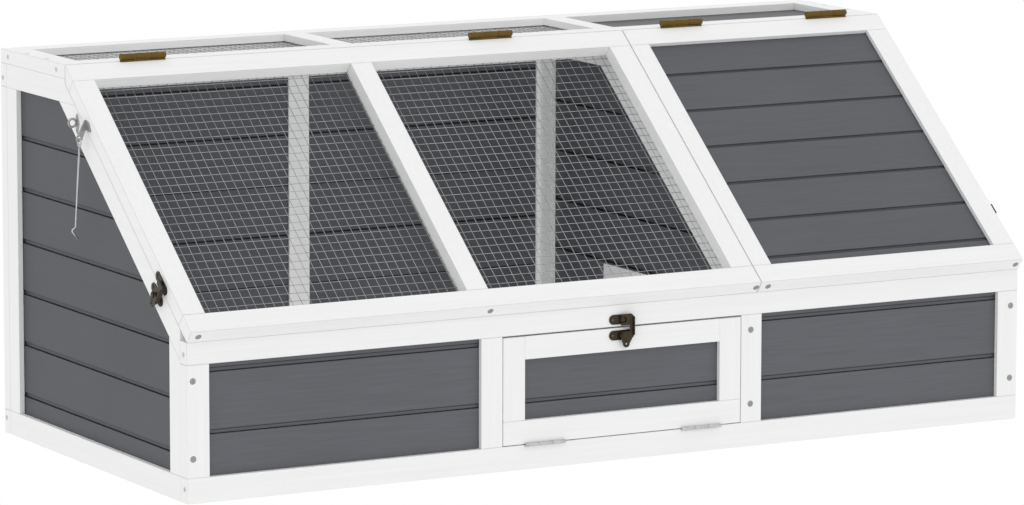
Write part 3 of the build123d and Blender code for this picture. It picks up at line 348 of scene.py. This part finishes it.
# The boards of each face get their own copy of the grey, carrying that face's painted light or shade
grey = {
    "front": grey_wood("grey_front", FRONT_GREY_AS_LIT, "x", FRONT_JOINT_SHADE),
    "back": grey_wood("grey_back", INNER_GREY_AS_LIT, "x", INNER_JOINT_SHADE),
    "lid": grey_wood("grey_lid", LID_GREY_AS_LIT, "x", LID_JOINT_SHADE),
    "roof": grey_wood("grey_roof", LID_GREY_AS_LIT, "x", ()),
    "side": grey_wood("grey_side", SIDE_GREY_AS_LIT, "y", SIDE_JOINT_SHADE),
    "partition": grey_wood("grey_partition", INNER_GREY_AS_LIT, "y", PARTITION_JOINT_SHADE),
}
galvanised = metal("galvanised", GALVANISED, 0.75, 0.42)
zinc = metal("zinc", ZINC, 0.8, 0.36)
steel = metal("steel", STEEL, 0.85, 0.3)
bronze = metal("bronze", BRONZE, 0.75, 0.42)
dark_bronze = metal("dark_bronze", DARK_BRONZE, 0.7, 0.4)
screw_metal = metal("screw_metal", SCREW, 0.6, 0.45, scale=SMALL_PATCHES)
pale_screw = metal("pale_screw", PALE_SCREW, 0.3, 0.5, scale=SMALL_PATCHES)
# Flat materials that paint shade into screw crosses and round screw heads
shadow = metal("screw_shadow", SHADOW, 0.0, 0.7)
pale_shadow = metal("pale_screw_shadow", PALE_SHADOW, 0.0, 0.7)
painted_edge_shade = painted_wood("painted_edge_shade", EDGE_SHADE_WHITE, *GRAINS["x"])
white_inside = painted_wood("white_inside", WHITE, *GRAINS["x"], lines=INNER_JOINT_SHADE)

NODE_MATERIALS = {
    white["x"]: (
        "front_base_rail", "front_top_rail", "back_rails", "roof_rails", "mesh_lid_rails",
        "solid_lid_rails", "door_rails",
    ),
    white["y"]: (
        "left_side_rails", "right_side_rails", "partition_rails", "roof_end_caps", "roof_cross_rails",
    ),
    white["z"]: (
        "front_posts", "back_posts", "left_side_stiles", "right_side_stiles", "partition_stiles",
        "door_stiles",
    ),
    white["slope"]: (
        "mesh_lid_stiles", "solid_lid_stiles", "left_slanted_rail", "right_slanted_rail",
        "partition_slanted_rail",
    ),
    grey["front"]: ("front_left_boards", "front_right_boards", "door_boards"),
    grey["back"]: ("back_boards",),
    grey["lid"]: ("solid_lid_boards",),
    grey["roof"]: ("roof_boards",),
    grey["side"]: ("left_side_boards", "right_side_boards"),
    grey["partition"]: ("partition_boards",),
    bronze: ("lid_hinge_fixed_leaves", "mesh_lid_hinge_leaves", "solid_lid_hinge_leaves"),
    zinc: ("door_hinge_fixed_leaves", "door_hinge_leaves"),
    dark_bronze: (
        "frame_latch_plates", "door_latch_plate", "front_latch_lever", "left_latch_lever",
        "right_latch_lever", "mesh_lid_edge_fittings", "solid_lid_edge_fittings",
    ),
}

TIMBER_BEVEL = 0.0007
BOARD_BEVEL = 0.0004
METAL_BEVEL = 0.00015
LATCH_BEVEL = 0.0005
WELD_REACH = 0.000001
SHARP_ANGLE = 40


def soften(node, width):
    """Rounds a node's sharp edges in the picture, once its split vertices are joined."""
    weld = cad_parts[node].modifiers.new("join", "WELD")
    weld.merge_threshold = WELD_REACH
    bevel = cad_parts[node].modifiers.new("soften", "BEVEL")
    bevel.width = width
    bevel.segments = 2
    bevel.limit_method = "ANGLE"
    bevel.angle_limit = radians(SHARP_ANGLE)
    bevel.harden_normals = True
    bevel.use_clamp_overlap = True


for material, names in NODE_MATERIALS.items():
    for node in names:
        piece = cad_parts[node]
        piece.data.materials.clear()
        piece.data.materials.append(material)
        if material in white.values():
            # The rounded edges of white pieces take the darker white, painted shade along edges and
            # joints
            piece.data.materials.append(painted_edge_shade)
            soften(node, TIMBER_BEVEL)
            piece.modifiers["soften"].material = 1
        elif material in grey.values():
            soften(node, BOARD_BEVEL)
        else:
            soften(node, LATCH_BEVEL if material == dark_bronze else METAL_BEVEL)

# The stay brackets share a node with the latch plates, so their faces get their own metal
for node in ("mesh_lid_edge_fittings", "solid_lid_edge_fittings"):
    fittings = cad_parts[node].data
    fittings.materials.append(steel)
    for polygon in fittings.polygons:
        if polygon.center.z > BRACKET_LOW:
            polygon.material_index = 1


# The bedroom's back wall is white on the inside
back_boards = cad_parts["back_boards"].data
back_boards.materials.append(white_inside)
for polygon in back_boards.polygons:
    if polygon.center.x > PARTITION_X and polygon.normal.y < -INWARD:
        polygon.material_index = 1

# Shapes


def new_object(name, mesh, material, smooth=True):
    """An object in the scene with one material."""
    piece = bpy.data.objects.new(name, mesh)
    bpy.context.scene.collection.objects.link(piece)
    mesh.materials.append(material)
    for polygon in mesh.polygons:
        polygon.use_smooth = smooth
    return piece


def tube_rings(points, radius, sides, closed):
    """Rings of points around a line, carried along it without twist."""
    rings = []
    count = len(points)
    side = None
    for number, point in enumerate(points):
        before = points[number - 1] if number or closed else point
        after = points[(number + 1) % count] if number < count - 1 or closed else point
        ahead = (after - before).normalized()
        if side is None:
            side = ahead.orthogonal().normalized()
        side = (side - ahead * side.dot(ahead)).normalized()
        other = ahead.cross(side)
        rings.append([
            point + (side * cos(2 * pi * k / sides) + other * sin(2 * pi * k / sides)) * radius
            for k in range(sides)
        ])
    return rings


def add_tube(vertices, faces, points, radius, sides=6, closed=False):
    """Adds a round wire along points to lists of vertices and faces."""
    rings = tube_rings(points, radius, sides, closed)
    first = len(vertices)
    for ring in rings:
        vertices.extend(ring)
    last = len(rings) if closed else len(rings) - 1
    for number in range(last):
        here = first + number * sides
        there = first + (number + 1) % len(rings) * sides
        for k in range(sides):
            step = (k + 1) % sides
            faces.append((here + k, here + step, there + step, there + k))
    if not closed:
        faces.append(tuple(first + k for k in reversed(range(sides))))
        faces.append(tuple(first + (len(rings) - 1) * sides + k for k in range(sides)))


def mesh_of(name, vertices, faces):
    """A mesh from lists of vertices and faces."""
    mesh = bpy.data.meshes.new(name)
    mesh.from_pydata([tuple(v) for v in vertices], [], faces)
    mesh.update()
    return mesh


def circle(centre, first, second, radius, count, start=0.0):
    """Points on a circle spanned by two directions."""
    turns = [start + 2 * pi * k / count for k in range(count)]
    return [centre + (first * cos(turn) + second * sin(turn)) * radius for turn in turns]


STRAIGHT = 0.000001
BEND_SHARE = 0.45


def rounded(corners, radius, steps=5):
    """A line through corners with round bends."""
    points = [corners[0]]
    for before, corner, after in zip(corners, corners[1:], corners[2:]):
        back = (before - corner).normalized()
        ahead = (after - corner).normalized()
        bend = max(STRAIGHT, back.cross(ahead).length)
        reach = radius / bend * (1 + back.dot(ahead))
        shorter = min((before - corner).length, (after - corner).length)
        reach = min(reach, shorter * BEND_SHARE)
        start = corner + back * reach
        end = corner + ahead * reach
        for step in range(steps + 1):
            t = step / steps
            points.append(start * (1 - t) ** 2 + corner * 2 * t * (1 - t) + end * t ** 2)
    points.append(corners[-1])
    return points


# Welded mesh in the lids and the roof


def wander():
    """A small offset, as wire is never quite straight."""
    return random.uniform(-WIRE_WANDER, WIRE_WANDER)


def net(name, node, body, origin, along, up, low_x, high_x, length):
    """Welded wire mesh in one opening: wires along X lie on the ones that run along the opening."""
    random.seed(name)
    vertices, faces = [], []
    reach = NET_REACH / 2
    side = Vector((1, 0, 0))
    x = low_x + FIRST_WIRE
    while x < high_x - WIRE_RADIUS:
        points = [
            origin + side * (x + wander()) + along * s + up * (wander() / 2 - WIRE_RADIUS * WELD_DEPTH)
            for s in (-reach, length * NET_THIRDS[0], length * NET_THIRDS[1], length + reach)
        ]
        add_tube(vertices, faces, points, WIRE_RADIUS)
        x += PITCH_ACROSS
    s = FIRST_WIRE
    middle = (low_x + high_x) / 2
    while s < length - WIRE_RADIUS:
        points = [
            origin + side * x + along * (s + wander()) + up * (wander() / 2 + WIRE_RADIUS * WELD_DEPTH)
            for x in (low_x - reach, (low_x + middle) / 2, (high_x + middle) / 2, high_x + reach)
        ]
        add_tube(vertices, faces, points, WIRE_RADIUS)
        s += PITCH_ALONG
    piece = new_object(name, mesh_of(name, vertices, faces), galvanised)
    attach(piece, body)
    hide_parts(node)


LID_OPENING = LID_LENGTH - 2 * LID_RAIL
for half in ("left", "right"):
    low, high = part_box(f"mesh_lid_{half}_net")
    net(
        f"lid_mesh_{half}", f"mesh_lid_{half}_net", "mesh_lid",
        slope_point(0, LID_RAIL, LID_WIRE_BELOW), -UPHILL, LID_UP,
        low.x + NET_REACH, high.x - NET_REACH, LID_OPENING,
    )
for half in ("left", "middle"):
    low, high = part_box(f"roof_{half}_net")
    net(
        f"roof_mesh_{half}", f"roof_{half}_net", "enclosure",
        Vector((0, low.y + NET_REACH, HEIGHT - ROOF_WIRE_BELOW)), Vector((0, 1, 0)), Vector((0, 0, 1)),
        low.x + NET_REACH, high.x - NET_REACH, high.y - low.y - 2 * NET_REACH,
    )


# Screws
HEAD_SIDES = 24
HEAD_LEVELS = ((1.0, 0.0), (0.97, 0.7), (0.75, 0.92), (0.45, 1.0))
RECESS_ARM = 0.55
RECESS_WIDTH = 0.13
RECESS_LIFT = 0.00004
RIM_LIFT = 0.00003
RIM_OUTER = 1.1
RIM_INNER = 0.96
SCREW_PROUD = 0.00018
PAN_PROUD = 0.0009


def screw(name, place, out, radius, body, proud, turn, material=screw_metal, dark=shadow):
    """A countersunk or pan head, square to out; a flat dark cross on top and a thin dark ring round it
    are painted shade.
    """
    out = out.normalized()
    first = out.orthogonal().normalized()
    second = out.cross(first)
    first, second = (
        first * cos(turn) + second * sin(turn),
        second * cos(turn) - first * sin(turn),
    )
    vertices = []
    for scale, lift in HEAD_LEVELS:
        vertices.extend(circle(place + out * proud * lift, first, second, radius * scale, HEAD_SIDES))
    faces = []
    for level in range(len(HEAD_LEVELS) - 1):
        for k in range(HEAD_SIDES):
            a = level * HEAD_SIDES + k
            b = level * HEAD_SIDES + (k + 1) % HEAD_SIDES
            faces.append((a, b, b + HEAD_SIDES, a + HEAD_SIDES))
    faces.append(tuple((len(HEAD_LEVELS) - 1) * HEAD_SIDES + k for k in range(HEAD_SIDES)))
    head = new_object(name, mesh_of(name, vertices, faces), material)
    arm = radius * RECESS_ARM
    width = radius * RECESS_WIDTH
    top = place + out * (proud + RECESS_LIFT)
    corners = [
        (arm, width), (width, width), (width, arm), (-width, arm), (-width, width), (-arm, width),
        (-arm, -width), (-width, -width), (-width, -arm), (width, -arm), (width, -width), (arm, -width),
    ]
    # The cross and the ring round the head are flat plates of painted shade
    cross_mesh = mesh_of(f"{name}_recess", [top + first * a + second * b for a, b in corners],
                         [(0, 1, 10, 11), (1, 2, 3, 4), (4, 5, 6, 7), (7, 8, 9, 10), (1, 4, 7, 10)])
    cross = new_object(f"{name}_recess", cross_mesh, pale_shadow, smooth=False)
    rim = place + out * RIM_LIFT
    outer = circle(rim, first, second, radius * RIM_OUTER, HEAD_SIDES)
    inner = circle(rim, first, second, radius * RIM_INNER, HEAD_SIDES)
    steps = [(k, (k + 1) % HEAD_SIDES) for k in range(HEAD_SIDES)]
    ring_faces = [(k, after, HEAD_SIDES + after, HEAD_SIDES + k) for k, after in steps]
    ring_mesh = mesh_of(f"{name}_edge", outer + inner, ring_faces)
    ring = new_object(f"{name}_edge", ring_mesh, dark, smooth=False)
    for piece in (head, cross, ring):
        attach(piece, body)


TO_FRONT = Vector((0, -1, 0))
TO_LEFT = Vector((-1, 0, 0))
TO_RIGHT = Vector((1, 0, 0))
UP = Vector((0, 0, 1))
DOWNHILL = -UPHILL

POST_SCREW_X = (LEFT + 0.008, LEFT + 0.794, RIGHT - 0.010)
POST_SCREW_Z = (0.0547, 0.1502)
POST_SCREWS = [(x, z) for x in POST_SCREW_X for z in POST_SCREW_Z]
END_SCREWS = [
    (FRONT + 0.009, WALL_RAIL_LOW + 0.012), (FRONT + 0.008, 0.017),
    (BACK - 0.007, ROOF_UNDER - 0.019), (BACK - 0.006, 0.020),
    (FRONT + 0.370, HEIGHT - TIMBER / 2), (FRONT + 0.518, HEIGHT - TIMBER / 2),
]
CAP_SCREW_IN = 0.006
CAP_SCREW_Y = (FRONT + 0.410, FRONT + 0.470)
LID_EDGE_SCREWS = (
    ("mesh_lid", (LEFT + 0.0125, LEFT + 0.413, LEFT + 0.797)),
    ("solid_lid", (LEFT + 0.815, LEFT + 1.192)),
)

random.seed(4)
for number, (x, z) in enumerate(POST_SCREWS):
    screw(f"post_screw_{number}", Vector((x, FRONT, z)), TO_FRONT, SCREW_RADIUS, "enclosure",
          SCREW_PROUD, random.random())
for number, (y, z) in enumerate(END_SCREWS):
    for x, out, name in ((LEFT, TO_LEFT, "left"), (RIGHT, TO_RIGHT, "right")):
        screw(f"{name}_end_screw_{number}", Vector((x, y, z)), out, END_SCREW_RADIUS, "enclosure",
              SCREW_PROUD, random.random(), pale_screw, pale_shadow)
for x, name in ((LEFT + CAP_SCREW_IN, "left"), (RIGHT - CAP_SCREW_IN, "right")):
    for number, y in enumerate(CAP_SCREW_Y):
        screw(f"{name}_cap_screw_{number}", Vector((x, y, HEIGHT)), UP, END_SCREW_RADIUS, "enclosure",
              SCREW_PROUD, random.random(), pale_screw, pale_shadow)
for body, places in LID_EDGE_SCREWS:
    for number, x in enumerate(places):
        screw(f"{body}_edge_screw_{number}", slope_point(x, LID_LENGTH, LID_THICK / 2), DOWNHILL,
              SCREW_RADIUS, body, SCREW_PROUD, random.random())

# Two pan heads on every latch plate
LATCHES = (
    ("front", Vector((LATCH_X, FRONT, WALL_RAIL_LOW - 0.001)), TO_FRONT, Vector((1, 0, 0)), UP,
     "enclosure", "door"),
    ("left", slope_point(LEFT, LATCH_ALONG, LATCH_BELOW), TO_LEFT, -UPHILL, LID_UP,
     "mesh_lid", "enclosure"),
    ("right", slope_point(RIGHT, LATCH_ALONG, LATCH_BELOW), TO_RIGHT, UPHILL, LID_UP,
     "solid_lid", "enclosure"),
)
for name, centre, out, run, up, upper_body, lower_body in LATCHES:
    for level, body in ((1, upper_body), (-1, lower_body)):
        for end in (-1, 1):
            place = centre + up * PLATE_OFFSET * level + run * PLATE_SCREW_SPACING / 2 * end
            place += out * PLATE_THICK
            screw(f"{name}_latch_screw_{level}_{end}", place, out, PLATE_SCREW_RADIUS, body,
                  PAN_PROUD, random.random(), dark_bronze)


# Stays in round wire
CORNER_STEPS = 5
RIM_SHARE = 0.7
TOP_SHARE = 0.94
RING_STEPS = 40
RING_SIDES = 14
EYE_STEPS = 32
HOOK_SIDES = 12
STAY_SCREW_RADIUS = 0.0016
STAY_SCREW_PROUD = 0.0006
STAY_SCREW_TURN = 0.4


def lozenge(vertices, faces, centre, run, up, out):
    """A small pointed plate with rounded corners and a slightly bevelled rim."""
    corners = [
        centre - run * LOZENGE_LENGTH / 2, centre - up * LOZENGE_WIDTH / 2,
        centre + run * LOZENGE_LENGTH / 2, centre + up * LOZENGE_WIDTH / 2,
    ]
    rim = []
    for number, corner in enumerate(corners):
        before = corners[number - 1]
        after = corners[(number + 1) % 4]
        start = corner + (before - corner).normalized() * LOZENGE_CORNER
        end = corner + (after - corner).normalized() * LOZENGE_CORNER
        for step in range(CORNER_STEPS + 1):
            t = step / CORNER_STEPS
            rim.append(start * (1 - t) ** 2 + corner * 2 * t * (1 - t) + end * t ** 2)
    count = len(rim)
    first = len(vertices)
    layers = ((1.0, 0.0), (1.0, LOZENGE_THICK * RIM_SHARE), (TOP_SHARE, LOZENGE_THICK))
    for scale, lift in layers:
        vertices.extend(centre + (point - centre) * scale + out * lift for point in rim)
    for layer in range(len(layers) - 1):
        for k in range(count):
            a = first + layer * count + k
            b = first + layer * count + (k + 1) % count
            faces.append((a, b, b + count, a + count))
    faces.append(tuple(first + (len(layers) - 1) * count + k for k in range(count)))


BEHIND = Vector((0, 1, 0))
vertices, faces = [], []
for side in (-1, 1):
    out = Vector((side, 0, 0))
    edge = LEFT if side < 0 else RIGHT
    plate = Vector((edge, RING_PLATE_Y, RING_PLATE_Z))
    lozenge(vertices, faces, plate, UP, BEHIND, out)
    ring = circle(plate + out * RING_OUT + UP * RING_RISE, out, UP, RING_RADIUS, RING_STEPS)
    add_tube(vertices, faces, ring, RING_WIRE, RING_SIDES, closed=True)
    for end in (-1, 1):
        place = plate + out * LOZENGE_THICK + UP * end * LOZENGE_SCREWS / 2
        screw(f"ring_plate_screw_{side}_{end}", place, out, STAY_SCREW_RADIUS, "enclosure",
              STAY_SCREW_PROUD, STAY_SCREW_TURN + end)
eyes = new_object("stay_rings", mesh_of("stay_rings", vertices, faces), steel)
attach(eyes, "enclosure")
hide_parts("stay_eye_plates")

for side, name in ((-1, "left"), (1, "right")):
    x = (LEFT if side < 0 else RIGHT) + side * HOOK_OUT
    eye = Vector((x, HOOK_Y, HOOK_Z))
    top = eye - UP * HOOK_EYE
    out = Vector((side, 0, 0))
    foot = top + out * SHANK_LEAN - UP * SHANK
    jog = foot + out * JOG_OUT - UP * JOG_DROP
    tip = jog - out * TIP_IN - UP * TIP_DROP
    vertices, faces = [], []
    add_tube(vertices, faces, circle(eye, BEHIND, UP, HOOK_EYE, EYE_STEPS), HOOK_WIRE, HOOK_SIDES,
             closed=True)
    add_tube(vertices, faces, rounded([top, foot, jog, tip], HOOK_BEND), HOOK_WIRE, HOOK_SIDES)
    hook = new_object(f"{name}_stay_wire", mesh_of(f"{name}_stay_wire", vertices, faces), zinc)
    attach(hook, f"{name}_stay")
    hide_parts(f"{name}_stay_hook")
    bracket = slope_point(LEFT if side < 0 else RIGHT, BRACKET_ALONG, BRACKET_BELOW)
    lid = "mesh_lid" if side < 0 else "solid_lid"
    for end in (-1, 1):
        place = bracket + out * LOZENGE_THICK + UPHILL * end * LOZENGE_SCREWS / 2
        screw(f"{name}_bracket_screw_{end}", place, out, STAY_SCREW_RADIUS, lid,
              STAY_SCREW_PROUD, STAY_SCREW_TURN + end)

# Floor, light and camera
FLOOR_LIGHT = 0.98
FLOOR_SIZE = 12.0
FLOOR_DROP = 0.0005
floor_mesh = bpy.data.meshes.new("floor")
floor_shape = bmesh.new()
bmesh.ops.create_grid(floor_shape, x_segments=1, y_segments=1, size=FLOOR_SIZE)
floor_shape.to_mesh(floor_mesh)
floor_shape.free()
floor_material, nodes, links, shader = new_material("floor")
glow = nodes.new("ShaderNodeEmission")
seen = nodes.new("ShaderNodeLightPath")
level = nodes.new("ShaderNodeMapRange")
level.inputs["To Min"].default_value = FLOOR_LIGHT
level.inputs["To Max"].default_value = 1.0
links.new(seen.outputs["Is Camera Ray"], level.inputs["Value"])
links.new(level.outputs["Result"], glow.inputs["Strength"])
links.new(glow.outputs["Emission"], nodes["Material Output"].inputs["Surface"])
floor = new_object("floor", floor_mesh, floor_material, smooth=False)
floor.location.z = -FLOOR_DROP

WORLD_LIGHT = 0.985
world = bpy.data.worlds.new("white")
bpy.context.scene.world = world
world.use_nodes = True
nodes = world.node_tree.nodes
links = world.node_tree.links
background = nodes["Background"]
path = nodes.new("ShaderNodeLightPath")
strength = nodes.new("ShaderNodeMapRange")
strength.inputs["To Min"].default_value = WORLD_LIGHT
strength.inputs["To Max"].default_value = 1.0
background.inputs["Color"].default_value = (1, 1, 1, 1)
links.new(path.outputs["Is Camera Ray"], strength.inputs["Value"])
links.new(strength.outputs["Result"], background.inputs["Strength"])


def sun(name, energy, spread, azimuth, elevation):
    """Soft sunlight that comes from azimuth (0 is from the front) and elevation, in degrees."""
    light = bpy.data.lights.new(name, "SUN")
    light.energy = energy
    light.angle = radians(spread)
    lamp = bpy.data.objects.new(name, light)
    a, e = radians(azimuth), radians(elevation)
    source = Vector((sin(a) * cos(e), -cos(a) * cos(e), sin(e)))
    lamp.rotation_euler = source.to_track_quat("Z", "Y").to_euler()
    bpy.context.scene.collection.objects.link(lamp)


KEY_ENERGY = 0.14
KEY_SPREAD = 40
KEY_AZIMUTH = -8
KEY_ELEVATION = 38
sun("key", KEY_ENERGY, KEY_SPREAD, KEY_AZIMUTH, KEY_ELEVATION)

# A dim lamp in the bedroom, whose white back wall shows through the doorway
BEDROOM_LIGHT = 0.45
BEDROOM_LAMP_SIZE = 0.08
BEDROOM_LAMP = Vector((PARTITION_X + 0.2, FRONT + 0.3, 0.25))
lamp_data = bpy.data.lights.new("bedroom", "POINT")
lamp_data.energy = BEDROOM_LIGHT
lamp_data.shadow_soft_size = BEDROOM_LAMP_SIZE
lamp = bpy.data.objects.new("bedroom", lamp_data)
lamp.location = BEDROOM_LAMP
lamp.visible_camera = False
bpy.context.scene.collection.objects.link(lamp)

CAMERA_PLACE = Vector((-3.52356, -6.35073, 1.35446))
CAMERA_BACK = Vector((-0.47872, -0.86448, 0.15332))
CAMERA_TURN = radians(-28.9768)
CAMERA_ROLL = radians(0.0923)
LENS = 200.02
SENSOR = 36
FARTHEST = 60
right = Vector((cos(CAMERA_TURN), sin(CAMERA_TURN), 0))
back = CAMERA_BACK.normalized()
top = back.cross(right)
level = right * cos(CAMERA_ROLL) + top * sin(CAMERA_ROLL)
upright = top * cos(CAMERA_ROLL) - right * sin(CAMERA_ROLL)
turned = Matrix((level, upright, back)).transposed().to_4x4()
camera_data = bpy.data.cameras.new("camera")
camera_data.lens = LENS
camera_data.sensor_width = SENSOR
camera_data.clip_end = FARTHEST
camera = bpy.data.objects.new("camera", camera_data)
camera.matrix_world = Matrix.Translation(CAMERA_PLACE) @ turned
bpy.context.scene.collection.objects.link(camera)
bpy.context.scene.camera = camera
bpy.context.scene.view_settings.view_transform = "Standard"
